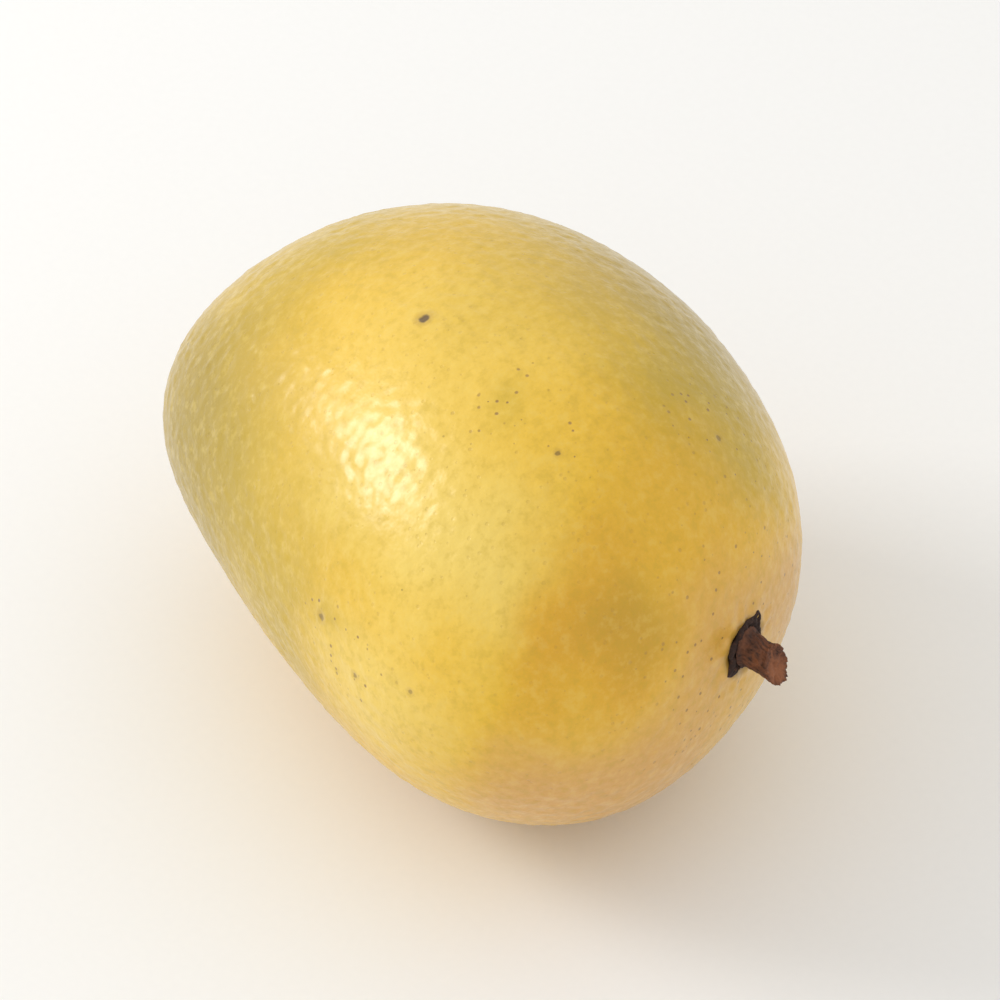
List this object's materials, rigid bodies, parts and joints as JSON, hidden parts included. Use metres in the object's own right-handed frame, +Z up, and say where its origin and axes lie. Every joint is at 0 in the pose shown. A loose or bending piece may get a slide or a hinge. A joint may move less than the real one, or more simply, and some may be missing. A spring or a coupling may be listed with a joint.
{
  "type": "mango",
  "caption": "Whole ripe yellow mango lying on its cheek, with a corky calyx remnant and the broken stub of its stalk at the stem end.",
  "frame": {"origin": "on the small flat spot under the fruit, where it rests", "axes": "+Z up; +X along the fruit towards its stem end; +Y towards the side that the blossom end leans away from"},
  "size_m": [0.1055, 0.0751, 0.0701],
  "materials": {
    "peel": "waxy satin skin, yellow to golden orange with greenish patches, fine dimples and dark specks",
    "calyx": "matte dark corky tissue, dried and ragged",
    "stalk": "matte brown bark with a fibrous broken end"
  },
  "bodies": {
    "root": {"fruit": "peel", "calyx_disc": "calyx", "stem_stub": "stalk"}
  },
  "joints": []
}
